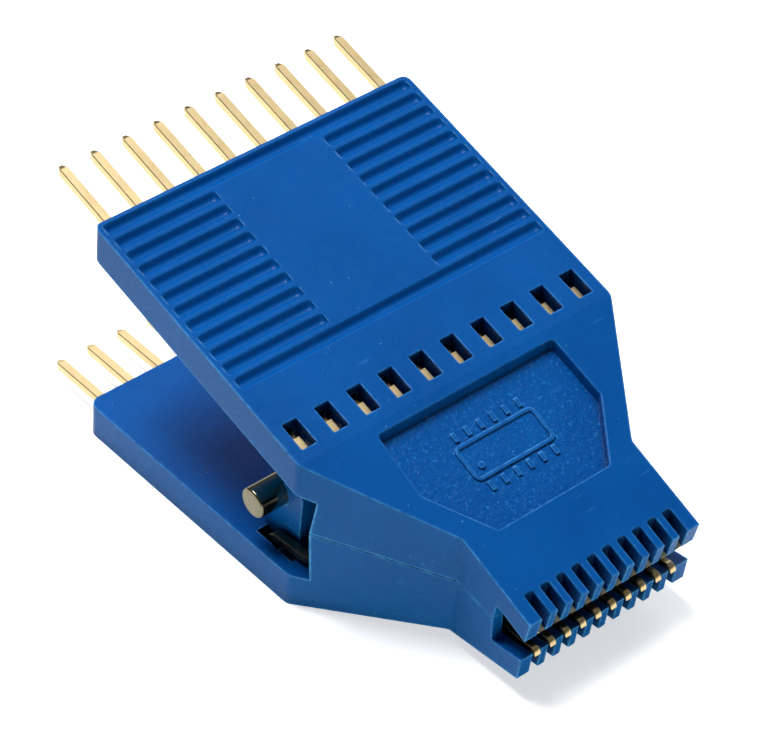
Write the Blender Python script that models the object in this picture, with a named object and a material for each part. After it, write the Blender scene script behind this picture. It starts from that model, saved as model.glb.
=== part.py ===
"""Spring-loaded 20-contact test clip for wide small-outline chips.

Two moulded halves turn about a steel dowel.  Each half carries ten square
contacts: header pins at 2.54 mm pitch behind the handle, fanning in to
1.27 mm pitch at the comb jaws.  A torsion spring on the dowel keeps the jaws
closed.

Dimensions are millimetres.  Profiles are (along, z): along runs from the
handle's rear edge towards the nose (-Y), z up from the middle plane.  Plans
are (x, along).  Names ending in _AT are places along the clip.  A root empty
tilts the whole clip so that the lower handle's outer face lies on z = 0.
"""

import math

import bmesh
import bpy
from mathutils import Matrix, Vector

MM = 0.001
WELD_DISTANCE = 1e-8    # metres
UPPER, LOWER = 1, -1    # the side a half lies on, as the sign of its z
LEFT, RIGHT = -1, 1     # the flank of the clip, as the sign of x

# ---- plan outline
HALF_WIDTH = 12.92      # half width of the handles
HALF_NOSE = 7.05        # half width of the neck and nose
SHOULDER_AT = 21.8      # handle ends, taper begins
NECK_AT = 30.8          # taper ends, nose begins
NOSE_AT = 37.5          # front of the comb jaws
# front face of the teeth: at the outer face, at the jaw face
FRONT_FACE = {UPPER: (NOSE_AT, 37.25), LOWER: (37.15, 37.22)}
REAR_CORNER = 0.9       # plan rounding of the rear corners
SHOULDER_CORNER = 1.1   # plan rounding of the shoulders
NECK_CORNER = 0.8       # plan rounding of the neck

# ---- side profile (distance of the faces from the middle plane)
Z_REAR = 9.85           # outer face at the rear edge
Z_SHOULDER = 6.70       # outer face at the shoulder
Z_NOSE = 2.72           # outer face at the nose
PLATE = 2.78            # thickness of the handle plate, square to its face
REAR_ROUND = 0.55       # profile rounding of the plate's rear edges
ROOF_AT = 22.9          # inner face: handle plate ends, roof begins
JAW_ROOF = 1.60         # jaw face at the rear of the mouth
MOUTH_AT = 35.0
JAW_TIP = 0.87          # jaw face at the nose

HANDLE_SLOPE = (Z_SHOULDER - Z_REAR) / SHOULDER_AT
FRONT_SLOPE = (Z_NOSE - Z_SHOULDER) / (NOSE_AT - SHOULDER_AT)
TILT = math.atan(-HANDLE_SLOPE)
REST_AT = 8.0           # the origin lies on the lower outer face at this station

# ---- ears (side walls that meet on the seam)
EAR_AT = 22.93          # front wall of the hinge opening
EAR_SEAM_AT = 22.68     # the same wall at the seam, slightly bulged
EAR_BEND = 0.02         # the bulge starts this far inside the plate's inner face
EAR_FRONT_AT = 34.34    # ears end, mouth begins
EAR_STEPS = ((0.14, -0.20), (0.45, 0.05))   # (beyond EAR_FRONT_AT, above JAW_ROOF)
EAR_SUNK_REAR = 1.2     # ear's top below the outer face
EAR_SUNK_FRONT = 0.8
SEAM_REAR = 0.67        # seam height at the hinge opening (left side up)
SEAM_FRONT = 0.30       # seam height at the mouth
SEAM_GAP = 0.08
CAVITY_REAR_X = 11.72   # inside of the ears at the shoulder
CAVITY_NECK_X = 6.20    # inside of the ears at the neck
CAVITY_REAR_AT = 22.0
CAVITY_NECK_AT = 30.6

# ---- hinge
HINGE_AT = 17.8
Z_HINGE = -0.60
DOWEL_RADIUS = 1.08
DOWEL_HALF = 13.10
DOWEL_CHAMFER = 0.16
CHAMFER_SHARE = 0.35    # the chamfer's middle ring, as a share of the chamfer
ROUND_SIDES = 40
LUG_RADIUS = 1.50
LUG_FRONT = {UPPER: LUG_RADIUS, LOWER: 2.45}    # reach in front of the dowel's axis
LUG_SPAN = {UPPER: (4.32, 5.82), LOWER: (9.42, 10.92)}     # in x, on each flank
LUG_CORNER = 0.35
LUG_ROOT = 0.6          # depth of the lugs' root in the plate
LUG_ARC_STEPS = 10
BORE_CLEAR = {UPPER: 0.05, LOWER: 0.02}     # running and fixed clearance

# ---- torsion spring
COIL_RADIUS = 1.66
WIRE_RADIUS = 0.30
COIL_TURNS = 5
COIL_HALF = 2.20
LEG_END_AT = 8.0
LEG_GAP = 0.07          # between a leg's end and the inner face
MAX_LEAN = math.radians(60)
LEAN_HALVINGS = 60
WIRE_SIDES = 6
STEPS_PER_TURN = 12

# ---- grip
RIDGE_PITCH = 1.271
GROOVE_FIRST_AT = 1.00  # centre of the rear full-width groove
GROOVES = 12            # first and last run the full width
GROOVE_WIDTH = 1.00
GROOVE_DEPTH = 0.40
GROOVE_STEPS = 6
FLOOR_SHARE = 0.94      # width of the rounded floor against the groove's
FLOOR_POWER = 0.7       # below 1 makes the floor fuller than an arc
GROOVE_ABOVE = 0.6      # the cutter's height above the face
GRIP_OUTER_X = 12.50
GRIP_INNER_X = 4.50

# ---- contacts
CONTACTS = 10
LANES = [i - (CONTACTS - 1) / 2 for i in range(CONTACTS)]
PIN_PITCH = 2.54
JAW_PITCH = PIN_PITCH / 2
BAR = 0.64
JAW_BAR = 0.46          # contact width in the jaws
TIP_LAND = 0.17         # flat left at the contact's tip
TIP_ROUND = 0.45        # length of the tip's rounding on the jaw side
TIP_STATIONS = (0.0, 0.5, 0.8, 1.0)         # shares of TIP_ROUND
NOTCH = (18.58, 19.52)  # notch in the upper contacts, seen through the windows
NOTCH_DEPTH = 0.40
NOTCH_RAMP = 0.03
PIN_DEPTH = {UPPER: 1.05, LOWER: 1.72}      # pin centre inside the outer face
PIN_TAIL = 5.15
PIN_POINT = 0.45
PIN_FLAT = 0.42         # width of the pin's end against the bar's
FAN_AT = 21.6
FAN_END_AT = 30.5
MITRE_LIMIT = 0.5       # least cosine used when stretching a section at a bend

# contact centre lines, (along, distance from the middle plane)
PIN_END_AT = {UPPER: 21.2, LOWER: 17.7}     # the straight pin ends
CRANK = {
    UPPER: [(24.3, 3.02)],
    LOWER: [(18.6, 4.00), (22.0, 3.14), (24.3, 2.98)],
}
JAW_LINE = [(FAN_END_AT, 1.93), (33.9, 1.46), (36.1, 1.30), (37.25, 0.93)]

# ---- windows, tunnels, troughs, comb
WINDOW_WIDTH = 1.12
WINDOW = (18.85, 20.95)
WINDOW_Z = (2.9, 9.0)
TUNNEL = 0.74
TUNNEL_END_AT = {UPPER: 19.6, LOWER: 17.4}
TROUGH_WIDTH = 0.98
TROUGH_RISE = 0.66      # trough floor beyond the contact's centre line
TROUGH_MOUTH = 0.25     # open end's distance from the middle plane
UPPER_TROUGH = (20.3, 25.6)
LOWER_TROUGH_PIN = (17.2, 18.3)             # stations on the pin's line
LOWER_TROUGH_CRANK = (19.2, 20.2)           # stations on the cranked contact
SLOT_WIDTH = 0.70
SLOT_CORNER = 0.16
SLOT_AT = 35.65
SLOT_HEIGHT = 6
CHANNEL_WIDTH = 0.74
CHANNEL_Z = (0.2, 1.96)
CHANNEL = (33.2, SLOT_AT + 0.4)

# ---- recessed panel: right half of its plan, (x, along)
PANEL = [(7.25, 22.5), (7.42, 27.2), (4.62, 31.4)]
PANEL_DEPTH = 0.80
PANEL_ABOVE = 3         # the cutter's height above the face

# ---- how far tools reach past the faces they trim
OVERCUT = 1.0
TOOL_HALF_HEIGHT = 20

# ---- colours
PLASTIC = (0.006, 0.090, 0.380, 1.0)
GOLD = (0.830, 0.610, 0.250, 1.0)
STEEL = (0.560, 0.540, 0.500, 1.0)
SPRING_STEEL = (0.420, 0.410, 0.390, 1.0)


# ------------------------------------------------------------- face heights
def outer(along):
    """Height of the upper outer face above the middle plane."""
    if along <= SHOULDER_AT:
        return Z_REAR + HANDLE_SLOPE * along
    return Z_SHOULDER + FRONT_SLOPE * (along - SHOULDER_AT)


def below(along, depth):
    """Profile point square below the handle's outer face."""
    return (along - depth * math.sin(TILT), outer(along) - depth * math.cos(TILT))


def handle_parallel(along, depth):
    """Height of the line parallel to the handle's outer face, depth below it."""
    return Z_REAR + HANDLE_SLOPE * along - depth / math.cos(TILT)


def plate_inner(along):
    return handle_parallel(along, PLATE)


def jaw_face(along):
    return JAW_ROOF + (JAW_TIP - JAW_ROOF) * (along - MOUTH_AT) / (NOSE_AT - MOUTH_AT)


def seam(along):
    """Seam height on the left side; the right side is its negative."""
    share = (along - EAR_SEAM_AT) / (EAR_FRONT_AT - EAR_SEAM_AT)
    return SEAM_REAR + (SEAM_FRONT - SEAM_REAR) * share


# ------------------------------------------------------------------- outlines
def mirror(profile, side):
    """Turn a profile drawn for the upper half over for the lower one."""
    return [(along, side * z) for along, z in profile]


def span(centre, width):
    return (centre - width / 2, centre + width / 2)


def rectangle(first_span, second_span):
    """Rectangle from its spans in the first and second coordinate."""
    (first_low, first_high), (second_low, second_high) = first_span, second_span
    return [(first_low, second_low), (first_low, second_high),
            (first_high, second_high), (first_high, second_low)]


def around_hinge(radius, angle, z=Z_HINGE):
    """Profile point on a circle about the hinge."""
    return (HINGE_AT + radius * math.cos(angle), z + radius * math.sin(angle))


def hinge_circle(radius):
    return [around_hinge(radius, 2 * math.pi * i / ROUND_SIDES) for i in range(ROUND_SIDES)]


def rounded(points, radii, segments=4):
    """Polygon with circular corners; radii maps a corner index to a radius."""
    outline = []
    for i, corner in enumerate(points):
        if i not in radii:
            outline.append(corner)
            continue
        here = Vector(corner)
        back = (Vector(points[i - 1]) - here).normalized()
        ahead = (Vector(points[(i + 1) % len(points)]) - here).normalized()
        half_angle = back.angle(ahead) / 2
        inset = radii[i] / math.tan(half_angle)
        centre = here + (back + ahead).normalized() * (radii[i] / math.sin(half_angle))
        start = here + back * inset - centre
        stop = here + ahead * inset - centre
        turn = start.angle_signed(stop)
        for k in range(segments + 1):
            spin = Matrix.Rotation(-turn * k / segments, 2)
            outline.append(tuple(centre + spin @ start))
    return outline


# --------------------------------------------- solids, each a list of rings
def point(x, along, z):
    return Vector((x, -along, z))


def profile_ring(profile, x):
    return [point(x, along, z) for along, z in profile]


def slab_x(profile, x_start, x_end):
    """Profile extruded across the clip."""
    return [profile_ring(profile, x) for x in (x_start, x_end)]


def slab_z(plan, low, high):
    """Plan extruded upright; low and high are heights or functions of along."""
    return [
        [point(x, along, level(along) if callable(level) else level) for x, along in plan]
        for level in (low, high)
    ]


def cross_ring(x, along, width, z_start, z_end):
    """Upright rectangle across a lane."""
    left, right = span(x, width)
    return [point(left, along, z_start), point(right, along, z_start),
            point(right, along, z_end), point(left, along, z_end)]


def loft(bm, rings):
    """Closed tube through rings of equal length, with flat ends."""
    loops = [[bm.verts.new(corner * MM) for corner in ring] for ring in rings]
    count = len(loops[0])
    for near, far in zip(loops, loops[1:]):
        for i in range(count):
            j = (i + 1) % count
            bm.faces.new((near[i], near[j], far[j], far[i]))
    bm.faces.new(loops[0][::-1])
    bm.faces.new(loops[-1])


def add_object(name, solids, parent, mat=None):
    bm = bmesh.new()
    for rings in solids:
        loft(bm, rings)
    bmesh.ops.remove_doubles(bm, verts=bm.verts, dist=WELD_DISTANCE)
    bmesh.ops.recalc_face_normals(bm, faces=bm.faces)
    mesh = bpy.data.meshes.new(name)
    bm.to_mesh(mesh)
    bm.free()
    obj = bpy.data.objects.new(name, mesh)
    bpy.context.scene.collection.objects.link(obj)
    obj.parent = parent
    if mat is not None:
        mesh.materials.append(mat)
    return obj


def boolean(obj, solids, operation, label):
    """Combine obj with a tool made of solids; the tool stays as a wire."""
    tool = add_object(obj.name + "_" + label, solids, obj.parent)
    tool.hide_render = True
    tool.display_type = "WIRE"
    mod = obj.modifiers.new(label, "BOOLEAN")
    mod.operation = operation
    mod.solver = "EXACT"
    mod.object = tool
    return tool


def shade(obj, sharp_degrees):
    """Smooth shading with edges kept sharp above an angle."""
    obj.data.shade_smooth()
    obj.data.set_sharp_from_angle(angle=math.radians(sharp_degrees))


# ------------------------------------------------------------- contact lines
def pin_line(along, side):
    """Centre line of the embedded header pins, drawn for the upper half."""
    return (along, handle_parallel(along, PIN_DEPTH[side]))


def contact_profile(side):
    """Centre line from the header pin's shoulder to the jaw tip."""
    pin = [pin_line(-PIN_TAIL, side), pin_line(PIN_END_AT[side], side)]
    return mirror(pin + CRANK[side] + JAW_LINE, side)


def interpolate(profile, along):
    """Height of a profile at a station within its length."""
    for (start, z_start), (end, z_end) in zip(profile, profile[1:]):
        if along <= end:
            break
    return z_start + (z_end - z_start) * (along - start) / (end - start)


def bends(profile):
    """Stations where a contact bends, the fan's own corner included."""
    return sorted({along for along, _ in profile} | {FAN_AT})


def fan_blend(rear, front, along):
    """Value that changes evenly over the fan."""
    share = min(max((along - FAN_AT) / (FAN_END_AT - FAN_AT), 0.0), 1.0)
    return rear + (front - rear) * share


def lane_x(lane, along):
    return lane * fan_blend(PIN_PITCH, JAW_PITCH, along)


# --------------------------------------------------------- shell and ears
def shell(side):
    """Handle plate, roof and jaw."""
    front_outer, front_inner = FRONT_FACE[side]
    profile = rounded([
        (0.0, Z_REAR), below(0, PLATE), (ROOF_AT, plate_inner(ROOF_AT)), (MOUTH_AT, JAW_ROOF),
        (front_inner, jaw_face(front_inner)), (front_outer, outer(front_outer)),
        (SHOULDER_AT, Z_SHOULDER),
    ], {0: REAR_ROUND, 1: REAR_ROUND})
    return [slab_x(mirror(profile, side), -HALF_WIDTH - OVERCUT, HALF_WIDTH + OVERCUT)]


def ear_slab(side, flank):
    """Side profile of one ear, still across the whole width."""
    level = -flank * side   # +1 where the seam lies on this half's own side
    step_rear, step_front = [(EAR_FRONT_AT + run, JAW_ROOF + rise) for run, rise in EAR_STEPS]
    profile = [
        (EAR_AT, outer(EAR_AT) - EAR_SUNK_REAR),
        (EAR_AT, plate_inner(EAR_AT) - EAR_BEND),
        (EAR_SEAM_AT, level * seam(EAR_SEAM_AT) + SEAM_GAP / 2),
        (EAR_FRONT_AT, level * seam(EAR_FRONT_AT) + SEAM_GAP / 2),
        step_rear,
        step_front,
        (step_front[0], outer(step_front[0]) - EAR_SUNK_FRONT),
    ]
    half = HALF_WIDTH + OVERCUT / 2
    return [slab_x(mirror(profile, side), -half, half)]


def ear_wall(flank):
    """Wall between the outline and the cavity, drawn outside the outline."""
    outside = flank * (HALF_WIDTH + OVERCUT)
    plan = [
        (outside, CAVITY_REAR_AT), (flank * CAVITY_REAR_X, CAVITY_REAR_AT),
        (flank * CAVITY_NECK_X, CAVITY_NECK_AT), (flank * CAVITY_NECK_X, MOUTH_AT),
        (outside, MOUTH_AT),
    ]
    return [slab_z(plan, -TOOL_HALF_HEIGHT, TOOL_HALF_HEIGHT)]


# ----------------------------------------- tools that shape the shell of a half
def outline(side):
    """Plan outline, the same for both halves."""
    front = NOSE_AT + OVERCUT
    plan = rounded([
        (-HALF_WIDTH, 0), (-HALF_WIDTH, SHOULDER_AT), (-HALF_NOSE, NECK_AT), (-HALF_NOSE, front),
        (HALF_NOSE, front), (HALF_NOSE, NECK_AT), (HALF_WIDTH, SHOULDER_AT), (HALF_WIDTH, 0),
    ], {0: REAR_CORNER, 1: SHOULDER_CORNER, 2: NECK_CORNER,
        5: NECK_CORNER, 6: SHOULDER_CORNER, 7: REAR_CORNER})
    return [slab_z(plan, -TOOL_HALF_HEIGHT, TOOL_HALF_HEIGHT)]


def panel(side):
    """Recess in the outer face whose floor follows that face."""
    plan = PANEL + [(-x, along) for x, along in reversed(PANEL)]
    return [slab_z(
        plan,
        lambda along: side * (outer(along) - PANEL_DEPTH),
        lambda along: side * (outer(along) + PANEL_ABOVE),
    )]


def lugs(side):
    """Hinge lugs: round behind the dowel, a square web in front of it."""
    z_axis = Z_HINGE * side
    front = HINGE_AT + LUG_FRONT[side]
    rear = HINGE_AT - LUG_RADIUS
    profile = [(front, plate_inner(front) + LUG_ROOT), (rear, plate_inner(rear) + LUG_ROOT)]
    for i in range(LUG_ARC_STEPS + 1):
        angle = math.pi + math.pi / 2 * i / LUG_ARC_STEPS
        profile.append(around_hinge(LUG_RADIUS, angle, z_axis))
    profile += [(front - LUG_CORNER, z_axis - LUG_RADIUS),
                (front, z_axis - LUG_RADIUS + LUG_CORNER)]
    inside, outside = LUG_SPAN[side]
    return [slab_x(mirror(profile, side), flank * inside, flank * outside)
            for flank in (LEFT, RIGHT)]


def bore(side):
    half = HALF_WIDTH + 2 * OVERCUT
    return [slab_x(hinge_circle(DOWEL_RADIUS + BORE_CLEAR[side]), -half, half)]


def windows(side):
    low, high = sorted(side * z for z in WINDOW_Z)
    return [slab_z(rectangle(span(lane * PIN_PITCH, WINDOW_WIDTH), WINDOW), low, high)
            for lane in LANES]


def tunnels(side):
    """Square passages along the handle for the header pins."""
    line = mirror([pin_line(-OVERCUT, side), pin_line(TUNNEL_END_AT[side], side)], side)
    return [
        [cross_ring(lane * PIN_PITCH, along, TUNNEL, *span(z, TUNNEL)) for along, z in line]
        for lane in LANES
    ]


def trough_line(side):
    """Centre line of the pin or contact where a trough runs round it."""
    profile = contact_profile(side)
    if side == UPPER:
        first, last = UPPER_TROUGH
        pin = []
        stations = [first] + [mark for mark in bends(profile) if first < mark < last] + [last]
    else:
        pin = mirror([pin_line(along, side) for along in LOWER_TROUGH_PIN], side)
        stations = LOWER_TROUGH_CRANK
    return pin + [(along, interpolate(profile, along)) for along in stations]


def troughs(side):
    """Open grooves round the contacts: walls upright, mouth towards the middle."""
    return [
        [cross_ring(lane_x(lane, along), along, TROUGH_WIDTH,
                    z + side * TROUGH_RISE, side * TROUGH_MOUTH)
         for along, z in trough_line(side)]
        for lane in LANES
    ]


def channels(side):
    """Jaw channels behind the comb slots."""
    profile = mirror(rectangle(CHANNEL, CHANNEL_Z), side)
    return [slab_x(profile, *span(lane * JAW_PITCH, CHANNEL_WIDTH)) for lane in LANES]


def comb(side):
    """Slots between the teeth, open at the nose."""
    low, high = sorted((0, side * SLOT_HEIGHT))
    solids = []
    for lane in LANES:
        plan = rectangle(span(lane * JAW_PITCH, SLOT_WIDTH), (SLOT_AT, NOSE_AT + 2 * OVERCUT))
        plan = rounded(plan, {0: SLOT_CORNER, 3: SLOT_CORNER}, segments=2)
        solids.append(slab_z(plan, low, high))
    return solids


def groove_section(centre):
    """Rounded groove across the handle, reaching above the face."""
    half = GROOVE_WIDTH / 2
    section = [(centre - half, -GROOVE_ABOVE), (centre - half, 0.0)]    # (along, depth)
    for k in range(1, GROOVE_STEPS):
        angle = math.pi * k / GROOVE_STEPS
        section.append((centre - half * math.cos(angle) * FLOOR_SHARE,
                        GROOVE_DEPTH * math.sin(angle) ** FLOOR_POWER))
    section += [(centre + half, 0.0), (centre + half, -GROOVE_ABOVE)]
    return [below(along, depth) for along, depth in section]


def grip(side):
    """Finger grooves, all but the first and last left out in the middle."""
    solids = []
    for k in range(GROOVES):
        section = mirror(groove_section(GROOVE_FIRST_AT + k * RIDGE_PITCH), side)
        if k in (0, GROOVES - 1):
            solids.append(slab_x(section, -GRIP_OUTER_X, GRIP_OUTER_X))
        else:
            solids.append(slab_x(section, -GRIP_OUTER_X, -GRIP_INNER_X))
            solids.append(slab_x(section, GRIP_INNER_X, GRIP_OUTER_X))
    return solids


# modifiers that follow the ears, in order: (label, operation, tool)
SHAPING = (
    ("outline", "INTERSECT", outline),
    ("panel", "DIFFERENCE", panel),
    ("lugs", "UNION", lugs),
    ("bore", "DIFFERENCE", bore),
    ("windows", "DIFFERENCE", windows),
    ("tunnels", "DIFFERENCE", tunnels),
    ("troughs", "DIFFERENCE", troughs),
    ("channels", "DIFFERENCE", channels),
    ("comb", "DIFFERENCE", comb),
    ("grip", "DIFFERENCE", grip),
)


def build_body(name, side, parent, mat):
    body = add_object(name, shell(side), parent, mat)
    for flank, label in ((LEFT, "ear_left"), (RIGHT, "ear_right")):
        ear = boolean(body, ear_slab(side, flank), "UNION", label)
        boolean(ear, ear_wall(flank), "INTERSECT", "wall")
    for label, operation, tool in SHAPING:
        boolean(body, tool(side), operation, label)


# ------------------------------------------------------------------- contacts
def contact_stations(side):
    """(along, z, trim on the outer side, trim on the jaw side) along a contact."""
    profile = contact_profile(side)
    trims = {along: (0.0, 0.0) for along in bends(profile)}
    if side == UPPER:
        rear, front = NOTCH
        trims[rear - NOTCH_RAMP] = trims[front + NOTCH_RAMP] = (0.0, 0.0)
        trims[rear] = trims[front] = (NOTCH_DEPTH, 0.0)
    tip_at = profile[-1][0]
    for share in TIP_STATIONS:
        jaw_trim = (BAR - TIP_LAND) * (1 - math.sqrt(1 - share * share))
        trims[tip_at - TIP_ROUND * (1 - share)] = (0.0, jaw_trim)
    return [(along, interpolate(profile, along), *trims[along]) for along in sorted(trims)]


def contact_rings(lane, side):
    """Pointed square pin, cranked and fanned contact, tip rounded on the jaw side."""
    stations = contact_stations(side)
    centres = [point(lane_x(lane, along), along, z) for along, z, _, _ in stations]
    directions = [(end - start).normalized() for start, end in zip(centres, centres[1:])]
    rings = []
    for i, (along, _, outer_trim, jaw_trim) in enumerate(stations):
        ahead = directions[min(i, len(directions) - 1)]
        tangent = (directions[max(i - 1, 0)] + ahead).normalized()
        stretch = 1.0 / max(MITRE_LIMIT, tangent.dot(ahead))
        across = tangent.cross(Vector((0, 0, 1))).normalized()
        outward = across.cross(tangent).normalized() * side
        half = fan_blend(BAR, JAW_BAR, along) / 2
        to_outer, to_jaw = BAR / 2 - outer_trim, BAR / 2 - jaw_trim
        rings.append([
            centres[i] + across * (flank * half) + outward * (offset * stretch)
            for flank, offset in ((-1, -to_jaw), (1, -to_jaw), (1, to_outer), (-1, to_outer))
        ])
    pin_end = centres[0] - directions[0] * PIN_POINT
    rings.insert(0, [pin_end + (corner - centres[0]) * PIN_FLAT for corner in rings[0]])
    return rings


def build_half(label, side, parent, plastic, contact_mat):
    """Moulded body and its ten contacts."""
    build_body(label + "_body", side, parent, plastic)
    for number, lane in enumerate(LANES, 1):
        name = "%s_contact_%02d" % (label, number)
        add_object(name, [contact_rings(lane, side)], parent, contact_mat)


# ----------------------------------------------------------- dowel and spring
def build_dowel(name, parent, mat):
    # (distance in from the end, distance in from the full radius)
    rear_insets = [
        (0.0, DOWEL_CHAMFER),
        (DOWEL_CHAMFER * CHAMFER_SHARE, DOWEL_CHAMFER * CHAMFER_SHARE),
        (DOWEL_CHAMFER, 0.0),
    ]
    left_end = [(inset - DOWEL_HALF, DOWEL_RADIUS - cut) for inset, cut in rear_insets]
    right_end = [(-x, radius) for x, radius in reversed(left_end)]
    rings = [profile_ring(hinge_circle(radius), x) for x, radius in left_end + right_end]
    shade(add_object(name, [rings], parent, mat), sharp_degrees=30)


def leg_end_z(side, lean):
    """Height of the end of a leg that leaves the coil at an angle of lean."""
    run = (HINGE_AT + COIL_RADIUS * math.sin(lean) - LEG_END_AT) / math.cos(lean)
    return Z_HINGE + side * (COIL_RADIUS * math.cos(lean) + run * math.sin(lean))


def leg_lean(side):
    """Lean of a leg that ends just off the inner face, by bisection."""
    target = side * (plate_inner(LEG_END_AT) - (WIRE_RADIUS + LEG_GAP) / math.cos(TILT))
    low, high = 0.0, MAX_LEAN
    for _ in range(LEAN_HALVINGS):
        middle = (low + high) / 2
        if side * (target - leg_end_z(side, middle)) > 0:
            low = middle
        else:
            high = middle
    return low


def spring_centreline():
    """Lower leg's end, the coil from left to right, upper leg's end."""
    lower_lean, upper_lean = leg_lean(LOWER), leg_lean(UPPER)
    start = -math.pi / 2 + lower_lean
    sweep = math.pi / 2 - upper_lean + 2 * math.pi * COIL_TURNS - start
    steps = int(round(sweep / (2 * math.pi) * STEPS_PER_TURN))
    line = [point(-COIL_HALF, LEG_END_AT, leg_end_z(LOWER, lower_lean))]
    for i in range(steps + 1):
        x = -COIL_HALF + 2 * COIL_HALF * i / steps
        line.append(point(x, *around_hinge(COIL_RADIUS, start + sweep * i / steps)))
    line.append(point(COIL_HALF, LEG_END_AT, leg_end_z(UPPER, upper_lean)))
    return line


def build_spring(name, parent, mat):
    line = spring_centreline()
    angles = [2 * math.pi * k / WIRE_SIDES for k in range(WIRE_SIDES)]
    rings = []
    for i, centre in enumerate(line):
        tangent = (line[min(i + 1, len(line) - 1)] - line[max(i - 1, 0)]).normalized()
        across = tangent.cross(Vector((1, 0, 0))).normalized()
        sideways = across.cross(tangent).normalized()
        rings.append([
            centre + across * WIRE_RADIUS * math.cos(angle)
            + sideways * WIRE_RADIUS * math.sin(angle)
            for angle in angles
        ])
    shade(add_object(name, [rings], parent, mat), sharp_degrees=50)


# ------------------------------------------------------------------ materials
def material(name, colour, roughness, metallic):
    mat = bpy.data.materials.new(name)
    mat.use_nodes = True
    shader = next(node for node in mat.node_tree.nodes if node.type == "BSDF_PRINCIPLED")
    shader.inputs["Base Color"].default_value = colour
    shader.inputs["Roughness"].default_value = roughness
    shader.inputs["Metallic"].default_value = metallic
    mat.diffuse_color = colour
    return mat


# ------------------------------------------------------------------ assembly
def frame_empty(name, parent, location):
    empty = bpy.data.objects.new(name, None)
    bpy.context.scene.collection.objects.link(empty)
    empty.parent = parent
    empty.location = location
    return empty


for old in list(bpy.data.objects):
    bpy.data.objects.remove(old, do_unlink=True)

upper_plastic = material("upper_plastic", PLASTIC, roughness=0.38, metallic=0.0)
lower_plastic = material("lower_plastic", PLASTIC, roughness=0.38, metallic=0.0)
gold = material("contact_gold", GOLD, roughness=0.28, metallic=1.0)
steel = material("dowel_steel", STEEL, roughness=0.25, metallic=1.0)
wire = material("spring_wire", SPRING_STEEL, roughness=0.35, metallic=1.0)

rest_point = point(0.0, REST_AT, -outer(REST_AT)) * MM
clip = frame_empty("clip_frame", None, -(Matrix.Rotation(TILT, 3, "X") @ rest_point))
clip.rotation_euler = (TILT, 0.0, 0.0)
hinge_point = point(0.0, HINGE_AT, Z_HINGE) * MM
upper_frame = frame_empty("upper_frame", clip, hinge_point)

build_half("lower", LOWER, clip, lower_plastic, gold)
build_dowel("hinge_dowel", clip, steel)
build_spring("torsion_spring", clip, wire)

# the upper half is drawn in clip coordinates, then hung under the hinge empty
already_built = set(bpy.data.objects)
build_half("upper", UPPER, clip, upper_plastic, gold)
for piece in set(bpy.data.objects) - already_built:
    piece.parent = upper_frame
    piece.matrix_parent_inverse = Matrix.Translation(-hinge_point)

bpy.context.view_layer.update()
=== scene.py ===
"""Visual model of a 20-contact test clip: two sprung halves on a hinge dowel.

Shapes are drawn in clip coordinates (x, n, z) in millimetres: x runs across, n from
the handle's rear edge to the nose, z up from the middle plane; meshes hold (x, -n, z).
CLIP takes them to the frame in metres: it sets the hinge on the CAD dowel and tilts
the clip until the lower handle face is level.  The halves are drawn alike, with z
counted outwards; side is 1 for the upper half and -1 for the lower, flank is the sign of x.
"""
import math

import bmesh
import bpy
from mathutils import Matrix, Vector


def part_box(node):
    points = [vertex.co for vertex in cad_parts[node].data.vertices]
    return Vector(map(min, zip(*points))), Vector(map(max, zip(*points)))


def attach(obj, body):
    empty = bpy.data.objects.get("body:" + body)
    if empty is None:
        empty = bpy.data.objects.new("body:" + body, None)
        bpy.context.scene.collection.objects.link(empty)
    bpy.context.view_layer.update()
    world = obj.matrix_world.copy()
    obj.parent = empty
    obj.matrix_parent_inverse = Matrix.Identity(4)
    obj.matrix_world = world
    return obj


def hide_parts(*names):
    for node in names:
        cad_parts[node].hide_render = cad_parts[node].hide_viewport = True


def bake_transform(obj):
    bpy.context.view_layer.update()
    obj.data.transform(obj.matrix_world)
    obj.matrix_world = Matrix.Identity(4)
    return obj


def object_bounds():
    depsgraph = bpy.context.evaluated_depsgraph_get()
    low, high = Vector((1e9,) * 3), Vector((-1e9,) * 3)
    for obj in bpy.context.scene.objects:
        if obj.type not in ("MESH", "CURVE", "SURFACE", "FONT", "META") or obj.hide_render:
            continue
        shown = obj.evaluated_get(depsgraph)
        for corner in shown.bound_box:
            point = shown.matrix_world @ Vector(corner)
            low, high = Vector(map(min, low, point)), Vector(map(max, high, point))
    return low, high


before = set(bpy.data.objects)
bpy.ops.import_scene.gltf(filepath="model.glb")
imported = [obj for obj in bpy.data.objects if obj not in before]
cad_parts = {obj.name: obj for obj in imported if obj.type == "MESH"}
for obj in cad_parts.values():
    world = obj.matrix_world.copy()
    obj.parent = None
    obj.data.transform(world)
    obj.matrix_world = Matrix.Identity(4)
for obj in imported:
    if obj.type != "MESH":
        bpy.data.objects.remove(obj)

cad_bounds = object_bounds()

# ------------------------------------------------------------------ dimensions
# N_ is a place along n, Z_ a height, R_ a radius
HALF_W, HALF_NOSE = 12.92, 7.05
N_SHOULDER, N_NECK, N_NOSE = 21.8, 30.8, 37.5
R_REAR, R_SHOULDER, R_NECK = 0.9, 1.1, 0.8
Z_REAR, Z_SHOULDER, Z_NOSE = 9.85, 6.70, 2.72
PLATE, REAR_ROUND, INNER_ROUND = 2.78, 0.55, 0.6
N_INNER, JAW_ROOF, N_MOUTH, JAW_TIP = 22.9, 1.60, 35.0, 0.87
UPPER_FRONT, LOWER_FRONT = (37.50, 37.25), (37.15, 37.22)   # n at the outer and jaw faces
EDGE_OUTER, EDGE_INNER = 0.13, 0.06   # rounding of the outline and of the other edges

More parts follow.
